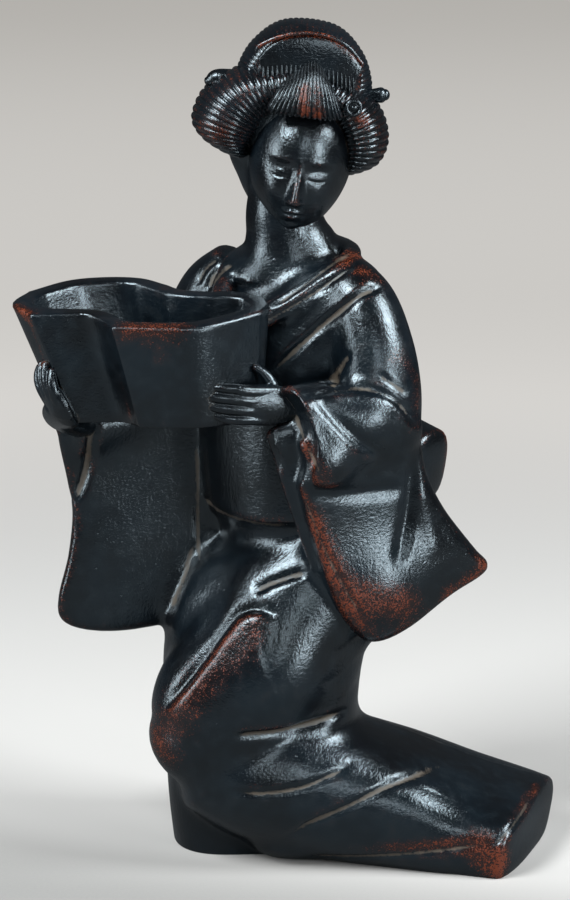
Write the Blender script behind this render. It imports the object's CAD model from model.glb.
import math

import bpy
import numpy as np
from mathutils import Matrix, Vector
from mathutils.bvhtree import BVHTree


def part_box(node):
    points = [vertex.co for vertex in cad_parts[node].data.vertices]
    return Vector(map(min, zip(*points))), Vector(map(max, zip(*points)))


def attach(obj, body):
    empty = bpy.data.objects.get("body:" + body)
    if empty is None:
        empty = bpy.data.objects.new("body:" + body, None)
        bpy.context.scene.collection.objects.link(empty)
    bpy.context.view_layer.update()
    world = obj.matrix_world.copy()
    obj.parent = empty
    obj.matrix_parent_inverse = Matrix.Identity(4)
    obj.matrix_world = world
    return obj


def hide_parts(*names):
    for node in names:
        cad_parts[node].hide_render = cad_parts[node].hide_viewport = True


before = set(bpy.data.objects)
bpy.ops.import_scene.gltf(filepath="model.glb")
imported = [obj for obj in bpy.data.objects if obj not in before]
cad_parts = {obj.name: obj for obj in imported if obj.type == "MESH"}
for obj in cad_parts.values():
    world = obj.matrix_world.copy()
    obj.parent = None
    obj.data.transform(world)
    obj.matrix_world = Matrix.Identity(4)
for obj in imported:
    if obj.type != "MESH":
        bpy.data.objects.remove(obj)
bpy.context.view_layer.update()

mm = 0.001
# the solid was centred on its footprint after it was built
centring = np.array([-4.2167, -2.3041, 0]) * mm
skinLow, skinHigh = np.array(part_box("figurine"))


def smoothPath(rows, perSpan, closed=False):
    rows = np.array(rows, float)
    if closed:
        padded = np.vstack([rows[-1:], rows, rows[:2]])
    else:
        padded = np.vstack([2 * rows[0] - rows[1], rows, 2 * rows[-1] - rows[-2]])
    steps = np.arange(perSpan)[:, None] / perSpan
    made = []
    for p0, p1, p2, p3 in zip(padded, padded[1:], padded[2:], padded[3:]):
        made.append(0.5 * (2 * p1 + (p2 - p0) * steps + (2 * p0 - 5 * p1 + 4 * p2 - p3) * steps ** 2
                           + (3 * p1 - p0 - 3 * p2 + p3) * steps ** 3))
    if not closed:
        made.append(rows[-1:])
    return np.vstack(made)


def readPoints(piece):
    points = np.zeros(len(piece.data.vertices) * 3)
    piece.data.vertices.foreach_get("co", points)
    return points.reshape(-1, 3)


def writePoints(piece, points):
    piece.data.vertices.foreach_set("co", np.ascontiguousarray(points, float).ravel())
    piece.data.update()


def readNormals(piece):
    normals = np.zeros(len(piece.data.vertices) * 3)
    piece.data.vertices.foreach_get("normal", normals)
    return normals.reshape(-1, 3)


def selectOnly(*pieces):
    bpy.ops.object.select_all(action="DESELECT")
    for piece in pieces:
        piece.select_set(True)
    bpy.context.view_layer.objects.active = pieces[0]


def fixNormals(piece):
    selectOnly(piece)
    bpy.ops.object.mode_set(mode="EDIT")
    bpy.ops.mesh.select_all(action="SELECT")
    bpy.ops.mesh.remove_doubles(threshold=0.000002)
    bpy.ops.mesh.normals_make_consistent(inside=False)
    bpy.ops.object.mode_set(mode="OBJECT")


def wrap(name, rings):
    # a sphere whose rings are drawn out onto the given ones, its poles closing the ends
    rings = np.asarray(rings)
    count, sides = len(rings), len(rings[0])
    bpy.ops.object.select_all(action="DESELECT")
    bpy.ops.mesh.primitive_uv_sphere_add(segments=sides, ring_count=count + 1, radius=1)
    piece = bpy.context.active_object
    piece.name = name
    ball = readPoints(piece)
    row = np.rint(np.arccos(np.clip(ball[:, 2], -1, 1)) / math.pi * (count + 1)).astype(int)
    column = np.rint(np.arctan2(ball[:, 1], ball[:, 0]) / (2 * math.pi) * sides).astype(int) % sides
    inner = np.clip(row - 1, 0, count - 1)
    points = rings[inner, column]
    points[row == 0] = rings[0].mean(axis=0)
    points[row == count + 1] = rings[-1].mean(axis=0)
    writePoints(piece, points)
    fixNormals(piece)
    return piece


def limb(name, stations, across=(0, -1, 0), sides=48, perSpan=9, dome=0.5):
    # each station: x, y, z, half size along across, other half size, squareness, twist; in mm
    rows = smoothPath([tuple(s) + (2, 0)[len(s) - 5:] for s in stations], perSpan)
    path = rows[:, :3] * mm
    ways = np.gradient(path, axis=0)
    ways /= np.linalg.norm(ways, axis=1)[:, None]
    sections = [(path[i], ways[i], *rows[i, 3:5] * mm, rows[i, 5], rows[i, 6]) for i in range(len(rows))]
    if dome:
        caps = []
        for end, sign in ((0, -1), (-1, 1)):
            centre, way, a, b, square, twist = sections[end]
            reach = dome * min(a, b)
            caps.append([(centre + sign * way * reach * math.sin(t), way, a * math.cos(t), b * math.cos(t),
                          square, twist) for t in (0.2, 0.4, 0.6, 0.8, 1.0, 1.2, 1.4, 1.5)])
        sections = caps[0][::-1] + sections + caps[1]
    turn = 2 * math.pi * np.arange(sides) / sides
    c, n = np.cos(turn), np.sin(turn)
    rings = []
    for centre, way, a, b, square, twist in sections:
        side = np.array(across, float) - np.dot(across, way) * way
        side /= np.linalg.norm(side)
        over = np.cross(way, side)
        t = math.radians(twist)
        side, over = side * math.cos(t) + over * math.sin(t), over * math.cos(t) - side * math.sin(t)
        u = np.sign(c) * np.abs(c) ** (2 / square)
        v = np.sign(n) * np.abs(n) ** (2 / square)
        rings.append(centre + np.outer(a * u, side) + np.outer(b * v, over))
    return wrap(name, rings)


def hanging(name, outline, thickness, place):
    # a hanging cloth panel: its outline in x, z, drawn in towards the middle of each face
    edge = smoothPath(outline, 10, closed=True)
    middle = edge.mean(axis=0)
    rings = []
    half = [(0.15, 1), (0.4, 1), (0.65, 0.99), (0.82, 0.97), (0.92, 0.9), (0.97, 0.72), (0.995, 0.4)]
    for share, depth in [(share, -depth) for share, depth in half] + [(1, 0)] + half[::-1]:
        spots = middle + (edge - middle) * share
        y = place(spots[:, 0], spots[:, 1]) + depth * thickness / 2
        rings.append(np.column_stack([spots[:, 0], y, spots[:, 1]]) * mm)
    return wrap(name, rings)


def fuse(name, pieces, voxel):
    selectOnly(*pieces)
    bpy.ops.object.join()
    whole = bpy.context.active_object
    whole.name = name
    skin = whole.modifiers.new("oneSkin", "REMESH")
    skin.mode = "VOXEL"
    skin.voxel_size = voxel
    bpy.ops.object.modifier_apply(modifier=skin.name)
    return whole


def thinOut(piece, triangles):
    faces = sum(len(f.vertices) - 2 for f in piece.data.polygons)
    if faces <= triangles:
        return
    selectOnly(piece)
    thin = piece.modifiers.new("fewer", "DECIMATE")
    thin.ratio = triangles / faces
    bpy.ops.object.modifier_apply(modifier=thin.name)


class Skin:
    # the points of a mesh with their neighbours, for draping, creasing and reading its hollows

    def __init__(self, piece):
        self.piece = piece
        self.points = readPoints(piece)
        links = np.zeros(len(piece.data.edges) * 2, int)
        piece.data.edges.foreach_get("vertices", links)
        self.a, self.b = links.reshape(-1, 2).T
        self.valence = np.bincount(np.concatenate([self.a, self.b]), minlength=len(self.points))

    def normals(self):
        writePoints(self.piece, self.points)
        return readNormals(self.piece)

    def mean(self, values):
        flat = values.reshape(len(values), -1)
        total = np.empty_like(flat)
        for axis in range(flat.shape[1]):
            total[:, axis] = (np.bincount(self.a, weights=flat[self.b, axis], minlength=len(flat))
                              + np.bincount(self.b, weights=flat[self.a, axis], minlength=len(flat)))
        return (total / np.maximum(self.valence, 1)[:, None]).reshape(values.shape)

    def drape(self, rounds):
        for turn in range(rounds):
            if turn % 8 == 0:
                normals = self.normals()
            move = self.mean(self.points) - self.points
            out = np.einsum("ij,ij->i", move, normals)
            self.points += np.where(out > 0, 0.9, 0.0)[:, None] * move

    def smooth(self, rounds):
        for _ in range(rounds):
            for share in (0.55, -0.57):
                self.points += share * (self.mean(self.points) - self.points)

    def beside(self, line, reach, deepRange):
        # front-facing points near a line given in x, z (mm): their gap to it, side of it and place along it
        path = smoothPath(line, 10) * mm
        normals = self.normals()
        low, high = path.min(0) - reach * mm, path.max(0) + reach * mm
        x, y, z = self.points.T
        inside = (x > low[0]) & (x < high[0]) & (z > low[1]) & (z < high[1]) & (normals[:, 1] < 0.2)
        near = np.flatnonzero(inside & (y > deepRange[0] * mm) & (y < deepRange[1] * mm))
        spots = self.points[near][:, (0, 2)]
        gaps = np.full(len(near), np.inf)
        side, place = np.zeros(len(near)), np.zeros(len(near))
        for i, (start, end) in enumerate(zip(path, path[1:])):
            way = end - start
            t = np.clip((spots - start) @ way / (way @ way), 0, 1)
            off = spots - start - t[:, None] * way
            gap = np.linalg.norm(off, axis=1)
            closer = gap < gaps
            gaps[closer] = gap[closer]
            side[closer] = np.sign(way[0] * off[:, 1] - way[1] * off[:, 0])[closer]
            place[closer] = ((i + t) / (len(path) - 1))[closer]
        return near, gaps / mm, side, place, normals[near]

    def fold(self, line, groove, width, step, reach, deepRange):
        # a groove along the line, with the cloth on its left side lying higher; returns where the groove is
        near, gaps, side, place, normals = self.beside(line, max(3 * reach, 4 * width), deepRange)
        fade = np.clip(np.minimum(place, 1 - place) * 6, 0, 1) ** 0.7
        press = np.exp(-(gaps / width) ** 2)
        layer = np.where(side > 0, np.exp(-gaps / reach), 0) * (1 - press)
        self.points[near] += (fade * (step * layer - groove * press) * mm)[:, None] * normals
        share = np.zeros(len(self.points))
        share[near] = fade * np.exp(-(gaps / (0.8 * width)) ** 2)
        return share

    def swell(self, spot, radius, height):
        gaps = np.linalg.norm(self.points - np.array(spot) * mm, axis=1) / (radius * mm)
        self.points += (height * mm * np.exp(-gaps ** 2))[:, None] * self.normals()

    def curving(self, rounds):
        # how far each point stands out of (+) or sinks under (-) the skin around it, in mm
        wide = self.points.copy()
        for _ in range(rounds):
            wide = self.mean(wide)
        return np.einsum("ij,ij->i", self.points - wide, self.normals()) / mm


def soften(skin, values, rounds):
    for _ in range(rounds):
        values = skin.mean(values)
    return values


def store(piece, name, values):
    attribute = piece.data.attributes.get(name) or piece.data.attributes.new(name, "FLOAT", "POINT")
    attribute.data.foreach_set("value", np.ascontiguousarray(values, np.float32))


headValues = {"centre": np.array([6.8, -0.5, 250.3]) * mm, "width": 36 * mm, "depth": 40 * mm,
              "height": 50 * mm, "lean": math.radians(10), "bow": math.radians(8), "hairLean": math.radians(6)}
hairUnit = np.array([15.75, 19.5, 23.5]) * mm  # half sizes that the hair and pins are placed by
hairMiddle = np.array([6.2, -0.5, 251]) * mm


def fromHead(x, y, z):
    spot = Matrix.Rotation(headValues["hairLean"], 3, "Y") @ Vector(np.array([x, y, z]) * hairUnit)
    return tuple((hairMiddle + np.array(spot)) / mm)


robeValues = {"voxel": 0.85 * mm, "triangles": 195000, "sleeve": 11, "drapeRounds": 80, "crease": 0.72,
              "step": 0.7, "spread": 1.15, "dust": 1.1}


def robeMasses():
    masses = [
        limb("torso", [
            (12, 5, 84, 31, 26, 2.2, 10), (11, 4, 104, 32, 27, 2.2, 18), (5, 2, 122, 28, 24, 2.2, 32),
            (1, 0, 140, 26.5, 23, 2.2, 42), (0, 0, 160, 27, 22.5, 2.2, 48), (1, 0, 182, 32, 22.5, 2.2, 50),
            (3, 1, 199, 35, 19, 2.2, 50), (3, 2, 209, 27, 15.5, 2, 50), (3, 2, 216, 17, 13.5, 2, 50)]),
        limb("sash", [
            (2.5, 1, 127.5, 30, 26, 2.4, 36), (1, 0, 142, 28.8, 25.2, 2.4, 42),
            (0, 0, 160, 28.8, 24.5, 2.4, 48), (0.5, 0, 168, 30, 24.5, 2.4, 49)], dome=0.08),
        limb("neck", [
            (3.3, 2, 209, 24, 17), (3.2, 1.5, 218, 18, 15.5), (1.8, 1, 225, 14.6, 14), (0.8, 1, 233, 13, 13.5),
            (3, 2, 246, 12.5, 13)], across=(1, 0, 0), dome=0),
        limb("nearUpperArm", [
            (20, -12, 208, 12, 12), (28, -18, 200, 13, 14), (32, -22, 186, 14.5, 16), (34, -24, 172, 15, 17),
            (35, -25, 158, 14, 16)], across=(1, 0, 0)),
        slanted(limb("nearForearm", [
            (38, -22, 157, 13, 15), (30, -31, 159, 12.5, 17.5), (19, -39, 160, 11, 18),
            (7, -46, 160, 9.5, 17.5, 2.6)], across=(0.6, 0.8, 0), dome=0.12), 0.3, 160, 6, 34),
        limb("farUpperArm", [
            (-16, 16, 207, 12, 12), (-24, 20, 199, 13, 13), (-29, 21, 185, 14, 15), (-32, 18, 168, 14, 15)],
            across=(1, 0, 0)),
        limb("farForearm", [
            (-30, 16, 164, 12, 14), (-45, 10, 160, 11, 14), (-60, 3, 158, 10, 14), (-74, -5, 157, 8, 13, 2.4)],
            across=(0.4, -0.9, 0), dome=0.15),
        limb("seat", [
            (14, 5, 112, 30, 22), (12, 4, 92, 31, 22, 2.3), (10, 3, 66, 33, 19, 2.4), (8, 2, 38, 34, 19, 2.6),
            (8, 2, 8, 36, 22, 3)]),
        limb("nearThigh", [
            (14, -4, 106, 27, 25), (4, -10, 91, 28, 27), (-10, -16, 69, 26, 27), (-23, -20, 51, 23, 24),
            (-28, -21, 43, 20, 20)], dome=0.8),
        limb("nearShin", [
            (-26, -20, 38, 21, 20), (-8, -17, 31, 26, 24), (14, -12, 26, 31, 25.5, 2.2),
            (40, -6, 19, 36, 21.5, 2.5), (66, -6, 12, 38, 17, 2.8), (88, -13, 8, 35, 14.5, 3.4)],
            across=(0.33, 0.94, 0), dome=0.35),
        limb("farLeg", [
            (-19, 9, -4, 20, 27, 2.5), (-20, 8, 20, 21.5, 27, 2.4), (-20.5, 6, 50, 22, 26, 2.3),
            (-20.5, 5, 76, 21.5, 26, 2.2), (-18, 5, 92, 17, 24)], across=(1, 0, 0), dome=0.6),
        limb("lap", [(10, 2, 110, 27, 16), (-6, 2, 103, 26, 16), (-22, 4, 92, 24, 15), (-30, 5, 80, 22, 12)]),
        limb("collar", [
            (-21.5, -14, 202, 2.8, 3.6), (-20, -5, 208, 2.8, 3.6), (-17, 3, 213, 2.8, 3.4),
            (-11, 11, 216.5, 3, 3), (-3, 16.5, 218.5, 3, 3), (7, 18, 219, 3, 3), (17, 13.5, 219, 3, 3),
            (24, 3, 218, 3, 3.2), (24.5, -8.5, 216.8, 2.8, 3.4), (19.5, -18, 213.8, 2.6, 3.8),
            (11, -21.3, 208.2, 2.5, 4), (3.2, -22.8, 203.3, 2.5, 4), (-7, -23.5, 197.5, 2.5, 4)],
            across=(0.1, -0.6, 0.5), sides=24),
        limb("crown", [
            (*fromHead(0, 0.3, 0.25), 22, 18), (*fromHead(0, 0.25, 0.8), 22, 18),
            (*fromHead(0, 0.2, 1.1), 15, 12)], across=(1, 0, 0)),
        limb("napeHair", [
            (4, 12, 258, 20, 13), (2, 12, 249, 21, 12), (1, 11, 241, 16, 10.5), (0.8, 9, 233, 11.5, 8.5),
            (0.5, 6, 224, 9, 7)], across=(1, 0, 0)),
        limb("bow", [
            (24.5 - 27, 29 + 22, 139, 11, 15, 2.8), (24.5 - 14, 29 + 12, 142, 12.5, 17, 2.8),
            (24.5, 29, 142, 13, 17.5, 2.8), (24.5 + 14, 29 - 12, 141, 12.5, 16, 2.8),
            (24.5 + 28, 29 - 22, 138, 11.5, 14, 2.8)], across=(0.64, 0.77, 0), dome=0.3),
    ]
    sleeve = robeValues["sleeve"]
    masses.append(hanging("nearSleeve", [
        (4, 160), (5, 150), (8.5, 133), (17, 108), (28, 89), (34, 85.5), (44, 89), (60, 98), (71, 103.5),
        (73.5, 107.5), (69, 113), (58, 128), (51, 142), (46, 160), (25, 168)],
        sleeve, lambda x, z: -45 + 0.42 * (x - 5) + 0.06 * (150 - z)))
    masses.append(hanging("nearLining", [
        (-4, 162), (-2, 150), (3, 133), (12, 108), (24, 88), (30, 86), (36, 100), (30, 140), (20, 165)],
        sleeve * 0.8, lambda x, z: -37 + 0.42 * (x - 5) + 0.06 * (150 - z)))
    masses.append(hanging("farSleeve", [
        (-79, 164), (-79.5, 152), (-76.5, 136), (-74.5, 123), (-76, 108), (-80, 93), (-79.5, 84.5), (-72, 80),
        (-58, 78.5), (-40, 80.5), (-24, 84), (-16, 100), (-18, 150), (-40, 168)],
        sleeve * 1.2, lambda x, z: 3 + 0.22 * (x + 60)))
    return masses


# line seen from the front (x, z), groove, its width, height of the layer on its left and how far that reaches,
# range in y, share of the dust in it
robeFolds = [
    # under the thigh, over the calf and along the trailing hem
    ([(-17, 52.5), (3, 52.5), (24, 56.5)], 2.6, 1.5, 1.4, 8, (-50, -10)),
    ([(-18, 31.5), (-7, 31), (6.7, 33), (15, 36), (26, 40)], 1.1, 1.1, 0.8, 6, (-50, -22)),
    ([(0, 12), (10, 19.8), (21, 25), (31.5, 30), (39, 32.8), (50, 34), (66, 31)], 1.2, 1.2, 1.0, 8, (-50, 6)),
    ([(76, 13.6), (52, 9.3), (28, 5.4), (4, 3.2)], 0.9, 1.0, 0.5, 4, (-52, -20)),
    ([(74, 12.5), (79, 16.7), (85, 19.8), (92, 22.3)], 1.1, 1.2, 0, 4, (-52, 6)),
    ([(48, 33), (62, 30.5), (76, 27), (90, 22.5)], -0.8, 2.6, 0, 4, (-34, 8)),
    ([(30, 83), (22, 80), (15, 81)], 0.5, 1.8, 0.3, 4, (-40, -4), 0.3),
    ([(30, 74), (22, 70), (14, 69)], 0.5, 1.8, 0.3, 4, (-40, -4), 0.3),
    ([(30, 65), (22, 60), (12, 58)], 0.6, 2.0, 0.4, 4, (-42, -4), 0.3),
    # lap
    ([(-1, 95), (-8, 96.6), (-14.5, 94.3), (-19.5, 88.7), (-28.6, 76.3), (-36.7, 65.9), (-42, 59)],
     1.5, 1.7, 3.2, 10, (-46, -8), 0.35),
    ([(9, 109), (3, 107.6), (-3.9, 105), (-10, 101.5)], 1.4, 1.5, 1.0, 5, (-50, -12)),
    ([(-15, 110), (-18, 104), (-21.5, 95), (-28, 84)], 0.7, 2.2, 0.6, 6, (-40, -4), 0),
    ([(-31, 112), (-35.5, 99), (-41, 86)], 1.0, 1.4, 0, 4, (-16, 12)),
    ([(-30.5, 150), (-30, 134), (-30, 116), (-29.6, 102)], 0.7, 1.2, 0, 4, (-16, 12)),
    # lower edge of the sash
    ([(-29, 128), (-24, 125.5), (-15, 124.3), (-4, 124.2), (7, 125)], 1.0, 1.4, 0.7, 6, (-36, 4)),
    # collar edges and the seam where the sleeve is set in
    ([(27, 219.5), (19, 216.5), (10, 210.3), (3, 205.5), (-3, 202)], 0.9, 1.0, 0.7, 3, (-30, 6)),
    ([(-8, 195.5), (-3, 198), (3, 201.5), (12, 206.8), (20, 212.4), (27, 216.5)], 1.0, 1.0, 0.7, 3, (-32, 0)),
    ([(-4, 178), (5.6, 187.4), (17, 198), (27, 206.6), (35, 209)], 1.3, 1.1, 1.5, 9, (-40, -8)),
    ([(-16, 214.5), (-21, 211), (-24.5, 207), (-26, 202)], 1.0, 1.2, 0.6, 3, (-20, 14)),
    ([(-22, 214), (-27, 210), (-30, 204)], 0.9, 1.2, 0.6, 3, (-16, 16)),
    ([(24, 188), (20, 181), (17, 176)], 0.8, 1.5, 0.4, 5, (-42, -20)),
    # near sleeve
    ([(47, 162), (43, 168), (38, 173), (30, 176), (21, 176.5), (5, 175)], 1.3, 1.3, 1.1, 6, (-54, -20), 0.7),
    ([(44, 173), (39, 177), (33, 181)], 1.0, 1.3, 0.5, 4, (-52, -20)),
    ([(12, 175), (20.5, 165), (27.5, 158.5), (37, 152)], 1.8, 2.2, 0, 4, (-58, -28), 0.3),
    ([(9, 174), (17.5, 164), (24.5, 156.5), (33, 150.5)], -0.9, 2.0, 0, 4, (-58, -28)),
    ([(10, 141.5), (24, 139.4), (43, 139.4)], 1.5, 2.4, 1.0, 9, (-60, -24), 0),
    ([(46, 150), (44.5, 132), (41, 112)], 2.0, 2.2, 1.0, 7, (-46, -14), 0),
    ([(48, 140), (55, 114)], -0.9, 2.6, 0, 4, (-46, -12)),
    ([(6.5, 142), (10.5, 132), (15.5, 119), (23.5, 103), (30, 93)], 0.7, 1.0, 0.3, 3, (-60, -30)),
    ([(3.5, 170), (9, 157), (15.5, 145)], 0.6, 1.1, 0, 3, (-60, -30)),
    # mouth of the far sleeve
    ([(-66.5, 159), (-67, 153), (-69.5, 139.5), (-74, 127)], 2.0, 1.6, 1.5, 9, (-14, 12)),
]
robeSwells = [  # where the cloth bulges (mm), how wide and how high
    ((32, -42, 166), 9, 2.0), ((19, -50, 151), 9, 2.4), ((38, -38, 102), 18, 5.4), ((56, -29, 112), 9, 1.4),
    ((-14, -20, 106), 9, 1.2), ((3, -42, 70), 20, 4.6), ((5, -37, 42), 9, 0.8), ((-62, -6, 112), 16, 1.0),
    ((-31, -22, 66), 15, 4.2), ((42, -36, 24), 12, 1.6),
]


def slanted(piece, share, level, full, none):
    # leans the end of a sleeve, so that its mouth is cut on a slope
    points = readPoints(piece)
    fade = np.clip((none - points[:, 0] / mm) / (none - full), 0, 1)
    points[:, 0] -= share * fade * (points[:, 2] - level * mm)
    writePoints(piece, points)
    return piece


def hollow(skin, spot, way, radii, depth):
    # presses a sleeve's mouth in
    off = skin.points - np.array(spot) * mm
    way = np.array(way, float) / np.linalg.norm(way)
    out = off @ way
    side = np.cross(way, (0, 0, 1))
    side /= np.linalg.norm(side)
    up = np.cross(side, way)
    far = np.hypot(off @ side / (radii[0] * mm), off @ up / (radii[1] * mm))
    facing = np.clip(skin.normals() @ way * 2, 0, 1) * (np.abs(out) < 12 * mm)
    skin.points -= (depth * mm * facing * np.clip(1.25 - far ** 2, 0, 1))[:, None] * way


def makeRobe(others):
    robe = fuse("robe", robeMasses(), robeValues["voxel"])
    skin = Skin(robe)
    skin.smooth(4)
    skin.drape(robeValues["drapeRounds"])
    skin.smooth(6)
    for spot, radius, height in robeSwells:
        skin.swell(spot, radius, height)
    hollow(skin, (1.5, -48, 159), (-0.93, -0.25, -0.25), (9, 15), 4)  # the near sleeve's mouth
    creased = np.zeros(len(skin.points))
    for line, groove, width, step, reach, deepRange, *dusty in robeFolds:
        share = skin.fold(line, groove * robeValues["crease"], width * robeValues["spread"],
                          step * robeValues["step"], reach, deepRange)
        if groove > 0:
            creased = np.maximum(creased, share * (dusty[0] if dusty else robeValues["dust"]))
    skin.smooth(2)
    skin.points[:, 2] = np.maximum(skin.points[:, 2], 0)  # stands flat
    writePoints(robe, skin.points)
    addWear(robe, 0.2, 0.25, 4, others, creased)
    thinOut(robe, robeValues["triangles"])
    return robe


bowlValues = {"rim": np.array([-48.5, -32, 203.8]) * mm, "width": 89 * mm, "depth": 54 * mm,
              "height": 40 * mm, "wall": 6 * mm, "floor": 6 * mm, "foot": 0.78, "footShift": 7 * mm,
              "tip": math.radians(10)}
bowlLobes = [  # its outline in mm round the middle
    [(-8.5, -23), (8, -23.8), (21, -22.6), (32, -15.5), (42, -7)],
    [(42, -7), (44.6, -0.5), (43, 8)],
    [(43, 8), (35, 14.2), (24, 14.4), (14, 16.4), (8.6, 21.6)],
    [(8.6, 21.6), (-1, 29), (-14, 30.2), (-27, 26.4), (-40, 14.5)],
    [(-40, 14.5), (-44.5, 2), (-37, -10.6)],
    [(-37, -10.6), (-28, -9.8), (-18.5, -9.6), (-12.5, -15), (-8.5, -23)],
]


def bowlOutline(steps):
    rim = np.vstack([smoothPath(lobe, steps)[:-1] for lobe in bowlLobes])
    return rim * np.array([bowlValues["width"] / 89, bowlValues["depth"] / 54])


def bowlRing(outline, share, lift):
    tip = bowlValues["tip"] * lift
    foot = np.array([bowlValues["footShift"] * (1 - lift), 0, -bowlValues["height"] * (1 - lift)])
    u, v = outline[:, 0] * share, outline[:, 1] * share
    return bowlValues["rim"] + foot + np.column_stack([u, v * math.cos(tip), v * math.sin(tip)])


def drawnIn(outline, wall, ease):
    # the outline drawn in by the wall, smoothed so that the inner face keeps no kinks
    dense = np.vstack([outline + (np.roll(outline, -1, axis=0) - outline) * t for t in (0, 0.5)])
    trial = np.linspace(0.97, 0.3, 135)
    shares = []
    for point in outline:
        gaps = np.linalg.norm(point * trial[:, None, None] - dense, axis=2).min(axis=1)
        shares.append(trial[np.argmax(gaps >= wall)])
    shares = np.array(shares)
    for _ in range(ease):
        shares = (np.roll(shares, 1) + 2 * shares + np.roll(shares, -1)) / 4
    return outline * shares[:, None]


def makeBowl():
    outer = bowlOutline(14)
    inner = drawnIn(outer, bowlValues["wall"], 10)
    foot, low = bowlValues["foot"], bowlValues["floor"] / bowlValues["height"]
    rings = [bowlRing(outer, foot * s, 0) for s in (0.3, 0.7, 0.93)]
    rings += [bowlRing(outer, foot * 0.985, 0.006), bowlRing(outer, foot, 0.03)]
    for lift in np.linspace(0.08, 0.93, 18):
        rings.append(bowlRing(outer, foot + (1 - foot) * lift, lift))
    rings += [bowlRing(outer, 0.994, 0.965), bowlRing(outer, 0.99, 0.985), bowlRing(outer, 0.978, 0.996)]
    for t in (0.15, 0.5, 0.85):
        rings.append(bowlRing(outer * (0.975 * (1 - t)) + inner * t, 1, 1.0))
    rings += [bowlRing(inner, 0.995, 0.994), bowlRing(inner, 0.985, 0.975)]
    for lift in np.linspace(0.93, low + 0.1, 14):
        rings.append(bowlRing(inner, 0.985 - (1 - foot) * (0.96 - lift), lift))
    rings += [bowlRing(inner, foot * s, lift) for s, lift in (
        (0.94, low + 0.06), (0.9, low + 0.03), (0.82, low + 0.012), (0.7, low), (0.4, low), (0.15, low))]
    return wrap("bowl", rings)


def bowlSide(angle, lift):
    outline = bowlOutline(6)
    angles = np.degrees(np.arctan2(outline[:, 1], outline[:, 0]))
    nearest = outline[np.argmin(np.abs((angles - angle + 180) % 360 - 180))]
    return bowlRing(nearest[None], bowlValues["foot"] + (1 - bowlValues["foot"]) * lift, lift)[0]


handValues = {"width": 4.1 * mm, "voxel": 0.3 * mm, "nearLength": 20 * mm, "farLength": 15 * mm}


def makeHand(name, grip, fingersWay, spreadWay, backWay, thumbWay, length, wrist=None):
    along, spread, back, thumb = [np.array(w, float) / np.linalg.norm(w)
                                  for w in (fingersWay, spreadWay, backWay, thumbWay)]
    wide = handValues["width"]
    half = wide / 2
    parts = []
    for i in range(4):
        reach = length * (0.84, 1, 0.97, 0.82)[i]
        thick = (0.95, 1, 0.97, 0.86)[i]
        root = grip + spread * (i - 1.5) * wide * 0.8
        spots = [(root - along * length * 0.45 + back * half * 0.2, 1.15), (root + back * half * 0.8, 1.12),
                 (root + along * reach * 0.3 + back * half * 0.75 + spread * (i - 1.5) * half * 0.15, 1.0),
                 (root + along * reach * 0.55 + back * half * 0.3 + spread * (i - 1.5) * half * 0.1, 0.88),
                 (root + along * reach * 0.74 - back * half * 0.25, 0.66)]
        parts.append(limb(name, [(*p / mm, half * thick * k / mm, half * thick * k / mm) for p, k in spots],
                          across=back, sides=24, perSpan=6, dome=1))
    wrist = wrist or [
        (*((grip - along * length * 1.15 - back * half * 0.6) / mm), wide * 1.25 / mm, wide * 1.1 / mm),
        (*((grip - along * length * 0.85 - back * half * 0.3) / mm), wide * 1.35 / mm, wide * 1.0 / mm)]
    parts.append(limb(name, wrist + [
        (*((grip - along * length * 0.45) / mm), wide * 1.75 / mm, wide * 0.9 / mm),
        (*((grip + along * length * 0.02 + back * half * 0.35) / mm), wide * 1.72 / mm, wide * 0.72 / mm),
        (*((grip + along * length * 0.16 + back * half * 0.35) / mm), wide * 1.6 / mm, wide * 0.45 / mm)],
        across=spread, sides=32, perSpan=6, dome=0.6))
    base = grip - along * length * 0.5 + thumb * wide * 1.1
    parts.append(limb(name, [
        (*(base - thumb * wide * 0.8) / mm, half * 1.5 / mm, half * 1.4 / mm),
        (*(base + thumb * length * 0.12) / mm, half * 1.15 / mm, half * 1.1 / mm),
        (*(base + thumb * length * 0.3 + along * length * 0.08) / mm, half * 0.95 / mm, half * 0.9 / mm),
        (*(base + thumb * length * 0.42 + along * length * 0.22) / mm, half * 0.65 / mm, half * 0.65 / mm)],
        across=back, sides=24, perSpan=6, dome=1))
    hand = fuse(name, parts, handValues["voxel"])
    skin = Skin(hand)
    skin.smooth(6)
    writePoints(hand, skin.points)
    return hand


def rise(u, w, u0, w0, uSize, wSize):
    return np.exp(-((u - u0) / uSize) ** 2 - ((w - w0) / wSize) ** 2)


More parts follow.
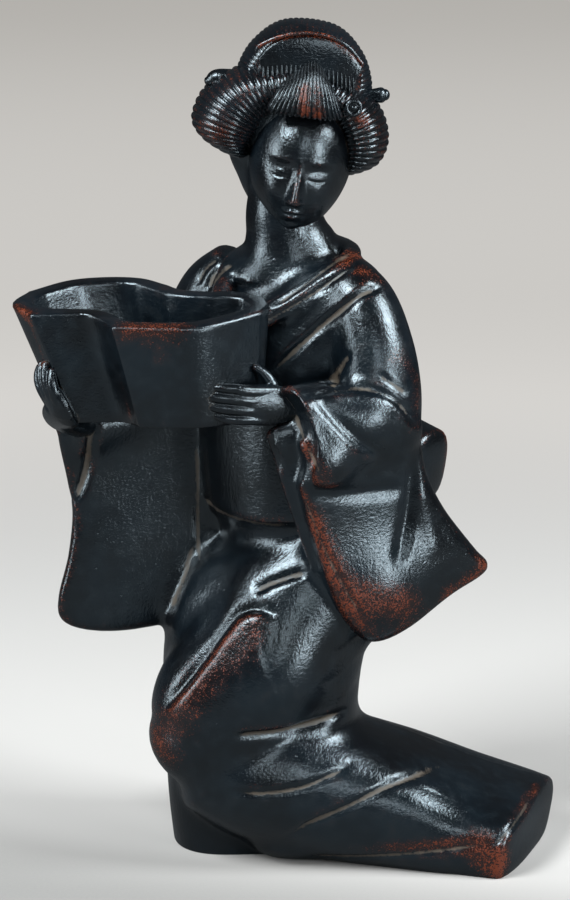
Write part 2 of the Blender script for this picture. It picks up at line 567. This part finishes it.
def faceRelief(u, w):
    side = np.abs(u)
    # eye hollows, closed lids with one soft line under each, brows, cheeks
    height = -0.075 * rise(side, w, 0.37, 0.02, 0.24, 0.12)
    height += 0.034 * rise(side, w, 0.38, -0.03, 0.16, 0.06)
    lash = -0.075 - 0.03 * np.cos(np.clip((side - 0.38) / 0.19, -1, 1) * math.pi / 2)
    height -= 0.028 * np.exp(-((w - lash) / 0.014) ** 2) * rise(side, w, 0.38, lash, 0.15, 1)
    height += 0.025 * rise(side, w, 0.38, 0.16, 0.22, 0.045)
    height += 0.045 * rise(side, w, 0.50, -0.34, 0.22, 0.2)
    # nose
    ridge = np.clip((0.08 - w) / 0.48, 0, 1)
    ridge = ridge * ridge * (3 - 2 * ridge)
    width = 0.08 + 0.045 * ridge
    under = np.where(w > -0.42, 1.0, np.exp(-((w + 0.42) / 0.04) ** 2))
    under = under * np.where(w > 0.02, np.exp(-((w - 0.02) / 0.12) ** 2), 1)
    height += (0.03 + 0.215 * ridge) * np.exp(-(u / width) ** 2) * under
    height += 0.05 * rise(side, w, 0.115, -0.405, 0.055, 0.045)
    # lips and chin
    bow = 0.012 * np.cos(u * 24) * np.exp(-(u / 0.12) ** 2)
    height += 0.06 * rise(u, w - bow, 0, -0.575, 0.15, 0.036) + 0.07 * rise(u, w, 0, -0.655, 0.12, 0.042)
    height -= 0.04 * rise(u, w, 0, -0.613, 0.16, 0.012)
    height -= 0.03 * rise(u, w, 0, -0.735, 0.16, 0.045)
    height += 0.06 * rise(u, w, 0, -0.86, 0.2, 0.1)
    return height


def makeHead(rows=190, columns=240):
    lean = np.array(Matrix.Rotation(headValues["lean"], 3, "Y") @ Matrix.Rotation(headValues["bow"], 3, "X"))
    turn = 2 * math.pi * np.arange(columns) / columns
    c, n = np.cos(turn), np.sin(turn)
    rings = []
    for w in -np.cos(math.pi * (np.arange(rows) + 0.5) / rows):
        girth = math.sqrt(1 - w * w) if w > 0 else (1 - abs(w) ** 2.5) ** 0.45
        low = max(0, -w)
        x = c * girth * (1 - 0.3 * low ** 1.5)
        y = n * girth * (1 - 0.5 * low * (n > 0)) - 0.16 * low ** 2
        forward = np.clip(-n * 1.8, 0, 1) * (y < 0)
        y = y - forward * faceRelief(x, np.full(columns, w)) * headValues["width"] / headValues["depth"]
        spots = np.column_stack([x * headValues["width"] / 2, y * headValues["depth"] / 2,
                                 np.full(columns, w * headValues["height"] / 2)])
        rings.append(spots @ lean.T + headValues["centre"])
    return wrap("head", rings)


hairValues = {"rollStrands": 46, "knotStrands": 44, "bunStrands": 16, "perStrand": 8, "groove": 0.75 * mm,
              "knotGroove": 0.35 * mm, "rollMiddle": (-1.8, 2.1)}


def combed(name, stations, strands, sides, groove):
    # a row of rounded strands across the sections; each section lies in its own plane
    rows = smoothPath([sum(s, ()) for s in stations], 12)
    along = np.concatenate([[0], np.cumsum(np.linalg.norm(np.diff(rows[:, :3], axis=0), axis=1))])
    turns = 2 * math.pi * np.arange(sides) / sides
    lean = np.array(Matrix.Rotation(headValues["hairLean"], 3, "Y"))
    rings = []
    for i, place in enumerate(np.linspace(0, along[-1], strands * hairValues["perStrand"] + 1)):
        row = np.array([np.interp(place, along, column) for column in rows.T]) * mm
        middle, one, other = row[:3], row[3:6], row[6:]
        dip = groove * (1 - abs(math.sin(math.pi * i / hairValues["perStrand"])) ** 0.6)
        one = one * (1 - dip / np.linalg.norm(one))
        other = other * (1 - dip / np.linalg.norm(other))
        ring = middle + np.outer(np.cos(turns), one) + np.outer(np.sin(turns), other)
        rings.append(ring @ lean.T + hairMiddle)
    return wrap(name, rings)


def arched(name, middle, rows, strands, groove, sides=44):
    # sections standing round a middle in the front view: angle, inner and outer reach, depth, half depth
    stations = []
    for angle, inner, outer, deep, halfDeep in rows:
        c, n = math.cos(math.radians(angle)), math.sin(math.radians(angle))
        reach, half = (inner + outer) / 2, (outer - inner) / 2
        stations.append(((middle[0] + c * reach, deep, middle[1] + n * reach), (0, halfDeep, 0),
                         (c * half, 0, n * half)))
    return combed(name, stations, strands, sides, groove)


def makeRoll():
    return arched("hairRoll", hairValues["rollMiddle"], [
        (-20, 17, 21, 5, 7), (-14, 16.5, 24.5, 4.5, 10), (-4, 16, 30, 3.5, 13), (8, 16, 33, 2.5, 15.5),
        (20, 16, 34, 1.5, 16.5), (33, 16.5, 34, 0.5, 16.8), (48, 17, 32.5, -1, 16.5),
        (66, 17, 31.5, -2.5, 16), (84, 17, 31.5, -3.5, 15.5), (100, 16.5, 32, -3.5, 15.5),
        (118, 15.5, 33.5, -2, 16), (134, 14.5, 36.5, -1, 16.5), (150, 14, 38.6, 0.5, 16.8),
        (162, 14, 38.6, 1.5, 16.5), (171, 14.5, 37.2, 2.5, 15.5), (179, 15, 32.5, 3.5, 13),
        (187, 15.5, 26, 4.5, 10), (194, 16, 21, 5, 7)], hairValues["rollStrands"], hairValues["groove"])


def makeBun():
    stations = []
    for x, z, halfHeight, halfDepth in (
            (-10.5, 22.5, 4.2, 3.4), (-8, 23, 7, 5), (-3, 24.6, 8.8, 6.6), (2, 25.8, 10, 7.2),
            (5, 25.6, 9.8, 7), (9, 24, 8, 5.8), (12, 22, 4.6, 3.6)):
        spread = -0.42 * (x - 1) * halfHeight / 10
        stations.append(((x - 0.6, -18.2, z), (spread, 0.28 * halfHeight, halfHeight), (0, halfDepth, 0)))
    return combed("hairBun", stations, hairValues["bunStrands"], 44, hairValues["groove"])


def makeKnot():
    across, tall = hairUnit[0] / mm, hairUnit[2] / mm
    stations = []
    for angle, halfWidth, halfDepth in (
            (-6, 5, 9), (14, 6, 11), (40, 6.5, 12.5), (70, 7, 13.5), (110, 7, 13.5), (140, 6.5, 12.5),
            (166, 6, 11), (186, 5, 9)):
        c, n = math.cos(math.radians(angle)), math.sin(math.radians(angle))
        x, z = c * 1.18 * across, n * 0.82 * tall
        out = math.hypot(x, z)
        stations.append(((x - 1, 2, z + 0.96 * tall), (0, halfDepth, 0),
                         (x / out * halfWidth, 0, z / out * halfWidth)))
    return combed("hairKnot", stations, hairValues["knotStrands"], 40, hairValues["knotGroove"])


def ringAt(name, spot, radius, thick, turn):
    bpy.ops.object.select_all(action="DESELECT")
    bpy.ops.mesh.primitive_torus_add(major_segments=48, minor_segments=20, major_radius=radius * mm,
                                     minor_radius=thick * mm, location=Vector(spot) * mm, rotation=turn)
    bpy.ops.object.transform_apply(location=True, rotation=True, scale=True)
    ring = bpy.context.active_object
    ring.name = name
    return ring


def makePins():
    pins = [
        limb("knotCore", [(*fromHead(0, -0.4, 1.2), 19, 15), (*fromHead(0, 0.7, 1.2), 19, 15)],
             across=(1, 0, 0), sides=64, dome=0.4),
        limb("comb", [
            (-6.5, -13.5, 284, 1.6, 3.5, 3), (0.5, -14.3, 286, 1.8, 7.6, 3), (9.5, -14.6, 286, 1.9, 9, 3),
            (18, -14.3, 284, 1.8, 8.6, 3), (25.5, -13.2, 279.5, 1.6, 5, 3)], sides=56, perSpan=14, dome=0.3),
        limb("combRim", [
            (-8.5, -14.9, 289, 0.4, 0.6), (-7, -15.5, 291.2, 0.55, 0.7), (0, -16.1, 294.2, 0.6, 0.7),
            (9, -16.3, 295.4, 0.6, 0.7), (17, -16, 294, 0.6, 0.7), (23.5, -15.4, 290.2, 0.55, 0.7),
            (28.2, -14.4, 284.6, 0.4, 0.6)],
            sides=16, perSpan=12, dome=0.8),
        limb("leftTie", [
            (-10, -1, 277, 4, 5), (-17, -2, 278.2, 3.6, 4.2), (-22.5, -2.5, 278.6, 3.2, 3.2),
            (-25.5, -2.5, 277.6, 1.6, 1.8)], across=(0, 0, 1), dome=0.7),
        limb("rightTie", [
            (22, 0, 271.5, 3, 3), (30, -1, 272.3, 2.3, 2.3), (33, -1.5, 272.6, 2.5, 2.5),
            (35.2, -2, 272.8, 2.7, 2.7), (36.4, -2.2, 272.9, 2.0, 2.0)], across=(0, 0, 1), dome=0.8),
        limb("ringBase", [(24.6, -14, 269.6, 3, 3), (25, -17.6, 270, 3, 3), (25.1, -18.4, 270, 2.2, 2.2)],
             across=(0, 0, 1), sides=40, perSpan=5, dome=0.1),
        ringAt("ringPin", (25.1, -18.6, 270), 2.4, 0.75, (math.radians(84), 0, math.radians(6))),
        limb("ringStud", [(25, -17, 270, 1.2, 1.2), (25.2, -19, 270, 1.1, 1.1)], across=(0, 0, 1), sides=28,
             perSpan=4, dome=0.8),
    ]
    # short teeth along the foot of the comb
    tooth = limb("tooth", [(0, 0, -2.6, 0.45, 0.55), (0, 0, 0, 0.5, 0.6), (0, 0, 2.4, 0.2, 0.25)],
                 across=(1, 0, 0), sides=12, perSpan=3, dome=0.8)
    shape = readPoints(tooth)
    places = smoothPath([
        (-6, -15.6, 281.4), (2, -16.4, 282), (10, -16.7, 281.6), (18, -16.2, 280), (25, -14.8, 277.6)], 5)
    for i, place in enumerate(places):
        selectOnly(tooth)
        bpy.ops.object.duplicate()
        copy = bpy.context.active_object
        copy.name = "tooth.%02d" % i
        writePoints(copy, shape + place * mm)
        pins.append(copy)
    selectOnly(tooth)
    bpy.ops.object.delete()
    return pins


class Value:
    # a socket that adds, subtracts and multiplies like a number

    def __init__(self, paint, socket):
        self.paint = paint
        self.socket = socket

    def maths(self, operation, first, second):
        return self.paint.node("ShaderNodeMath", {"operation": operation}, {0: first, 1: second})

    def __add__(self, other):
        return self.maths("ADD", self, other)

    def __radd__(self, other):
        return self.maths("ADD", other, self)

    def __sub__(self, other):
        return self.maths("SUBTRACT", self, other)

    def __rsub__(self, other):
        return self.maths("SUBTRACT", other, self)

    def __mul__(self, other):
        return self.maths("MULTIPLY", self, other)

    def __rmul__(self, other):
        return self.maths("MULTIPLY", other, self)

class Paint:
    def __init__(self, name):
        self.material = bpy.data.materials.new(name)
        self.material.use_nodes = True
        self.tree = self.material.node_tree
        self.shader = self.tree.nodes["Principled BSDF"]

    def node(self, kind, settings=None, inputs=None, output=0):
        made = self.tree.nodes.new(kind)
        for key, value in (settings or {}).items():
            setattr(made, key, value)
        for key, value in (inputs or {}).items():
            self.put(made.inputs[key], value)
        return Value(self, made.outputs[output])

    def put(self, socket, value):
        if isinstance(value, Value):
            self.tree.links.new(value.socket, socket)
        else:
            socket.default_value = value

    def step(self, value, low, high):
        return self.node("ShaderNodeMapRange", {"interpolation_type": "SMOOTHSTEP"},
                         {"Value": value, "From Min": low, "From Max": high})

    def blend(self, share, first, second):
        made = self.tree.nodes.new("ShaderNodeMix")
        made.data_type = "RGBA"
        self.put(made.inputs[0], share)
        self.put(made.inputs[6], first)
        self.put(made.inputs[7], second)
        return Value(self, made.outputs[2])

    def noise(self, scale, detail, stretch=None):
        where = self.node("ShaderNodeTexCoord", output=3)
        if stretch:
            turn, scales = stretch
            where = self.node("ShaderNodeMapping", {}, {"Vector": where, "Rotation": turn, "Scale": scales})
        return self.node("ShaderNodeTexNoise", {}, {"Vector": where, "Scale": scale, "Detail": detail,
                                                    "Roughness": 0.55})

    def attribute(self, name):
        return self.node("ShaderNodeAttribute", {"attribute_name": name}, output=2)


glazeValues = {
    "blue": (0.0036, 0.0070, 0.0105, 1), "black": (0.0020, 0.0024, 0.0032, 1), "grey": (0.008, 0.012, 0.015, 1),
    "rust": (0.17, 0.028, 0.004, 1), "darkRust": (0.020, 0.006, 0.0035, 1), "dust": (0.108, 0.079, 0.052, 1),
    "roughness": 0.21, "index": 1.72, "sheenTint": (0.80, 0.93, 1.0, 1), "bump": 0.15 * mm, "bumpStrength": 0.9,
    "broad": 30, "mid": 240, "fine": 1100, "grit": 2200, "hatch": 980, "pits": 170,  # scales of the patterns
}


def makeGlaze():
    paint = Paint("darkGlaze")
    worn, dust = paint.attribute("wear"), paint.attribute("dust")
    broad = paint.noise(glazeValues["broad"], 3)
    mid = paint.noise(glazeValues["mid"], 4)
    fine = paint.noise(glazeValues["fine"], 3)
    grit = paint.noise(glazeValues["grit"], 2)
    hatch = paint.noise(glazeValues["hatch"], 2, ((0, 0.5, 0.7), (1, 0.25, 1)))
    crossHatch = paint.noise(glazeValues["hatch"], 2, ((0.4, -0.7, 0), (1, 1, 0.22)))
    pits = paint.node("ShaderNodeTexVoronoi", {}, {
        "Vector": paint.node("ShaderNodeTexCoord", output=3), "Scale": glazeValues["pits"]})
    base = paint.blend(paint.step(broad, 0.38, 0.66), glazeValues["black"], glazeValues["blue"])
    base = paint.blend(paint.step(mid * 0.6 + broad * 0.4, 0.48, 0.72) * 0.7, base, glazeValues["grey"])
    reddish = paint.step(worn + (broad - 0.5) * 0.5 + (mid - 0.5) * 0.5, 0.12, 0.6)
    base = paint.blend(reddish * 0.85, base, glazeValues["darkRust"])
    # the rust-red body shows in specks where the glaze is rubbed, and whole along worn edges
    specks = worn + (fine - 0.5) * 2.2 + (grit - 0.5) * 2.2 + (mid - 0.5)
    rusty = paint.step(specks, 0.60, 1.10) * paint.step(worn, 0.08, 0.3)
    base = paint.blend(rusty * 0.92, base, glazeValues["rust"])
    dusty = paint.step(dust + (mid - 0.5) * 0.9 + (fine - 0.5) * 0.7, 0.60, 1.15)
    base = paint.blend(dusty * 0.75, base, glazeValues["dust"])
    paint.put(paint.shader.inputs["Base Color"], base)
    rough = glazeValues["roughness"] + (mid - 0.5) * 0.16 + (broad - 0.5) * 0.12 + rusty * 0.2 + dusty * 0.4
    paint.put(paint.shader.inputs["Roughness"], rough)
    pin = paint.step(pits, 0.07, 0.0)
    height = fine * 0.6 + hatch * 0.75 + crossHatch * 0.6 + grit * 0.2 + mid * 0.5 - pin * 0.9 - rusty * 0.15
    bumped = paint.node("ShaderNodeBump", {}, {
        "Strength": glazeValues["bumpStrength"], "Distance": glazeValues["bump"], "Height": height})
    paint.put(paint.shader.inputs["Normal"], bumped)
    paint.shader.inputs["IOR"].default_value = glazeValues["index"]
    paint.shader.inputs["Specular Tint"].default_value = glazeValues["sheenTint"]
    return paint.material


# places rubbed through to the rust-red body: a line of points (mm), how far it reaches and how strong it is
rubbed = [
    ([(-12, -38, 87), (-22, -38, 75), (-33, -36, 60), (-42, -33, 47)], 8, 0.5),
    ([(-43, -28, 52), (-41, -34, 44)], 7, 0.45), ([(12, -46, 130), (20, -43, 112), (31, -39, 99)], 5, 0.6),
    ([(28, -41, 103), (44, -37, 98)], 7, 0.72), ([(60, -26, 100), (70, -22, 105), (73, -21, 109)], 4, 0.5),
    ([(6, -50, 168), (9, -50, 158), (13, -50, 147), (17, -49, 144)], 2.0, 1.1),
    ([(7, -47, 140), (16, -44, 118), (28, -40, 92)], 2.0, 0.35),
    ([(-52, -53, 203), (-44, -55, 203), (-32, -54, 203)], 2.4, 1.15),
    ([(-32, -54, 203), (-14, -46, 203.5), (-6, -38, 204)], 1.4, 0.5),
    ([(-50, -53, 198), (-36, -53, 197)], 4.5, 0.36), ([(-61, -50, 201), (-52, -45, 166)], 1.2, 0.55),
    ([(-46, -52, 196), (-40, -51, 190)], 5, 0.32), ([(-93, -34, 204), (-88, -40, 201)], 2.5, 0.7),
    ([(-87, -40, 201), (-80, -38, 178)], 1.4, 0.5), ([(26, -13, 217), (22, -19, 214.5)], 3, 0.9),
    ([(28, -23, 213), (33, -22, 209)], 3, 0.55), ([(20, -41, 8), (50, -43, 11), (74, -45, 14)], 2.5, 0.45),
    ([(68, -46, 12), (77, -45, 6)], 6, 0.8), ([(30, -42, 9), (66, -44, 13)], 3, 0.6),
    ([(74, -45, 14), (86, -28, 20), (92, -6, 23)], 2, 0.35), ([(8, -25, 277), (8, -26, 265)], 1.9, 1.0),
    ([(12, -24, 277), (13, -25, 265)], 1.7, 1.0), ([(-22, -14, 258), (-28, -8, 255)], 6, 0.28),
    ([(33, -12, 262), (36, -6, 252)], 4, 0.08),
    ([(-7, -15.2, 291.2), (0, -15.7, 294.2), (9, -15.9, 295.4), (17, -15.6, 294), (28, -14, 284.6)], 1.2, 0.95),
    ([(27, -17, 267), (29, -15, 265)], 2, 0.5), ([(40, -35, 186), (47, -30, 176), (46, -34, 165)], 3.5, 0.3),
    ([(43, -20, 190), (48, -18, 170)], 5, 0.25), ([(-70, -5, 155), (-68, -6, 140)], 1.6, 0.5),
    ([(58, 12, 150), (60, 12, 132)], 2.5, 0.35),
]
seamReach = 1.8 * mm  # how far dust lies from the seam between two pieces


def nearLine(points, line, radius):
    gaps = np.full(len(points), np.inf)
    line = np.array(line, float) * mm
    for start, end in zip(line, line[1:]):
        way = end - start
        t = np.clip((points - start) @ way / (way @ way), 0, 1)
        gaps = np.minimum(gaps, np.linalg.norm(points - start - t[:, None] * way, axis=1))
    return np.exp(-(gaps / (radius * mm)) ** 2)


def addWear(piece, edge, dip, rounds=4, others=(), creased=0, even=0.3):
    # stores where the glaze is worn (edges that stand out) and dusty (hollows, creases, seams against others)
    skin = Skin(piece)
    curve = soften(skin, skin.curving(rounds), 2)
    wide = soften(skin, skin.curving(rounds * 5), 3)
    raised = np.clip(curve / edge, 0, 1) * 0.6 + np.clip(wide / (edge * 4), 0, 1) * 0.4
    dust = (np.clip(-curve / dip - 0.15, 0, 1) * 0.55 + np.clip(-wide / (dip * 5) - 0.2, 0, 1) * 0.25
            + creased * 0.85)
    near = np.zeros(len(skin.points))
    for line, radius, strength in rubbed:
        near = np.maximum(near, strength * nearLine(skin.points, line, radius))
    worn = raised * (even + 0.9 * near) + near * 0.75
    for other in others:
        tree = BVHTree.FromObject(other, bpy.context.evaluated_depsgraph_get())
        corners = readPoints(other)
        low, high = corners.min(axis=0) - 0.002, corners.max(axis=0) + 0.002
        for i in np.flatnonzero(((skin.points > low) & (skin.points < high)).all(axis=1)):
            gap = tree.find_nearest(Vector(skin.points[i]), seamReach)[3]
            if gap is not None:
                dust[i] = max(dust[i], 0.85 * (1 - gap / seamReach))
    store(piece, "wear", np.clip(worn, 0, 1.2))
    store(piece, "dust", np.clip(dust, 0, 1.2))


stageValues = {
    "far": (0.455, 0.44, 0.415, 1), "middle": (0.60, 0.585, 0.56, 1), "near": (0.79, 0.775, 0.75, 1),
    "paper": (0.72, 0.69, 0.66, 1), "front": (0.33, 0.318, 0.305, 1), "mirrored": (0.13, 0.13, 0.13, 1),
    "grain": (0.7, 0.66, 0.6, 1), "sky": (0.86, 0.93, 1.0, 1), "worldStrength": 0.06,
    "lampColour": (0.92, 0.97, 1.0),
    "lamps": {  # place, size, energy
        "keyWindow": ((-0.66, -0.62, 1.08), (0.5, 0.55), 19.5),
        "sideWindow": ((1.0, -0.3, 0.9), (0.5, 0.6), 16.5),
        "lowWindow": ((-1.2, -0.42, 0.4), (0.4, 0.6), 6.5),
        "cornerWindow": ((0.98, -1.0, 0.33), (0.3, 0.6), 8.5),
        "frontWindow": ((0.22, -1.3, 0.62), (0.3, 0.24), 1.9)},
}


def makeStage():
    bpy.ops.object.select_all(action="DESELECT")
    bpy.ops.mesh.primitive_plane_add(size=16, location=(0, 0, 0))
    floor = bpy.context.active_object
    floor.name = "floor"
    paint = Paint("paleFloor")
    spot = paint.node("ShaderNodeTexCoord", output=3)
    across, depth = [paint.node("ShaderNodeSeparateXYZ", {}, {"Vector": spot}, axis) for axis in (0, 1)]
    away = paint.node("ShaderNodeVectorMath", {"operation": "LENGTH"}, {0: spot}, 1)
    grain = paint.node("ShaderNodeTexNoise", {}, {"Vector": spot, "Scale": 900, "Detail": 2})
    behind = paint.step(depth + across * 0.3, -0.09, 0.03)
    base = paint.blend(behind, stageValues["front"], stageValues["paper"])
    base = paint.blend((grain - 0.5) * 0.12 + 0.04, base, stageValues["grain"])
    seen = paint.node("ShaderNodeLightPath", output=0)
    # the glaze mirrors a darker sheet than the camera sees
    base = paint.blend(seen, stageValues["mirrored"], base)
    paint.put(paint.shader.inputs["Base Color"], base)
    paint.shader.inputs["Roughness"].default_value = 0.9
    paint.shader.inputs["Specular IOR Level"].default_value = 0.1
    # far from the object the paper is only seen, and its tone falls off towards the back
    tone = paint.blend(paint.step(depth, 0.15, 1.3), stageValues["near"], stageValues["middle"])
    tone = paint.blend(paint.step(depth, 1.3, 4.4), tone, stageValues["far"])
    glow = paint.node("ShaderNodeEmission", {}, {"Color": tone})
    share = seen * paint.step(away, 0.3, 0.9)
    mixed = paint.node("ShaderNodeMixShader", {}, {0: share, 1: Value(paint, paint.shader.outputs[0]), 2: glow})
    paint.put(paint.tree.nodes["Material Output"].inputs[0], mixed)
    floor.data.materials.append(paint.material)
    world = bpy.data.worlds.new("studio")
    bpy.context.scene.world = world
    world.use_nodes = True
    tree = world.node_tree
    tree.nodes.clear()
    out = tree.nodes.new("ShaderNodeOutputWorld")
    light, shown, mix = [tree.nodes.new(kind) for kind in (
        "ShaderNodeBackground", "ShaderNodeBackground", "ShaderNodeMixShader")]
    light.inputs[0].default_value = stageValues["sky"]
    light.inputs[1].default_value = stageValues["worldStrength"]
    shown.inputs[0].default_value = stageValues["far"]
    path = tree.nodes.new("ShaderNodeLightPath")
    for start, end in ((path.outputs["Is Camera Ray"], mix.inputs[0]), (light.outputs[0], mix.inputs[1]),
                       (shown.outputs[0], mix.inputs[2]), (mix.outputs[0], out.inputs[0])):
        tree.links.new(start, end)
    for name, (place, size, energy) in stageValues["lamps"].items():
        bpy.ops.object.light_add(type="AREA", location=place)
        lamp = bpy.context.active_object
        lamp.name = name
        lamp.data.shape = "RECTANGLE"
        lamp.data.size, lamp.data.size_y = size
        lamp.data.energy = energy
        lamp.data.color = stageValues["lampColour"]
        aim = Vector((0, -0.02, 0.15)) - Vector(place)
        lamp.rotation_euler = aim.to_track_quat("-Z", "Y").to_euler()


cameraValues = {"aim": (1.44, 0, 145.78), "tilt": 12, "distance": 1.15, "sensor": 36, "focal": 3215.6,
                "tall": 900}  # focal and tall in pixels of the view


def makeCamera():
    aim = Vector(cameraValues["aim"]) * mm + Vector(centring)
    tilt = math.radians(cameraValues["tilt"])
    place = aim + Vector((0, -math.cos(tilt), math.sin(tilt))) * cameraValues["distance"]
    bpy.ops.object.camera_add(location=place)
    camera = bpy.context.active_object
    camera.rotation_euler = (aim - place).to_track_quat("-Z", "Y").to_euler()
    camera.data.sensor_width = cameraValues["sensor"]
    camera.data.lens = cameraValues["sensor"] * cameraValues["focal"] / cameraValues["tall"]
    bpy.context.scene.camera = camera


bowl = makeBowl()
nearHand = makeHand(
    "nearHand", bowlSide(-22, 0.16) + np.array([4, -1.2, 1.5]) * mm, fingersWay=(-1, -0.35, 0.12),
    spreadWay=(0, 0.05, -1), backWay=(0.25, -1, -0.1), thumbWay=(-0.2, 0.2, 1), length=handValues["nearLength"])
farHand = makeHand(
    "farHand", bowlSide(-170, 0.25) + np.array([-1.4, -0.6, 0]) * mm, fingersWay=(-0.4, 0.0, 1),
    spreadWay=(-0.51, 0.86, 0), backWay=(-0.86, -0.51, 0), thumbWay=(0.2, 1, 0.3),
    length=handValues["farLength"], wrist=[(-70, -3, 156, 6.5, 5.5), (-73, -12, 158.5, 6, 5),
                                           (-77.5, -22, 162.5, 6, 4.6)])
print("bowl and hands", len(bowl.data.polygons), len(nearHand.data.polygons), len(farHand.data.polygons))
head, roll, bun, knot = makeHead(), makeRoll(), makeBun(), makeKnot()
print("head and hair", len(head.data.polygons), len(roll.data.polygons), len(bun.data.polygons))
pins = makePins()
robe = makeRobe((bowl, nearHand, farHand, roll))
print("robe", len(robe.data.polygons))
pieces = [robe, bowl, nearHand, farHand, head, roll, bun, knot] + pins

addWear(bowl, 0.22, 0.3, 4, (robe, nearHand, farHand), even=0.12)
for hand in (nearHand, farHand):
    addWear(hand, 0.08, 0.06, 3, (bowl,))
addWear(head, 0.14, 0.2, 5, (roll,))
for hair in (roll, bun, knot):
    addWear(hair, 0.30, 0.22, 3)
for pin in pins:
    addWear(pin, 0.25, 0.2, 3)
print("wear")

glaze = makeGlaze()
for piece in pieces:
    spots = readPoints(piece) + centring
    writePoints(piece, np.clip(spots, skinLow + 0.00001, skinHigh - 0.00001))
    piece.data.materials.clear()
    piece.data.materials.append(glaze)
    selectOnly(piece)
    bpy.ops.object.shade_smooth()
    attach(piece, "root")
    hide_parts("figurine")
makeStage()
makeCamera()
bpy.context.scene.view_settings.view_transform = "Standard"
print("stage")
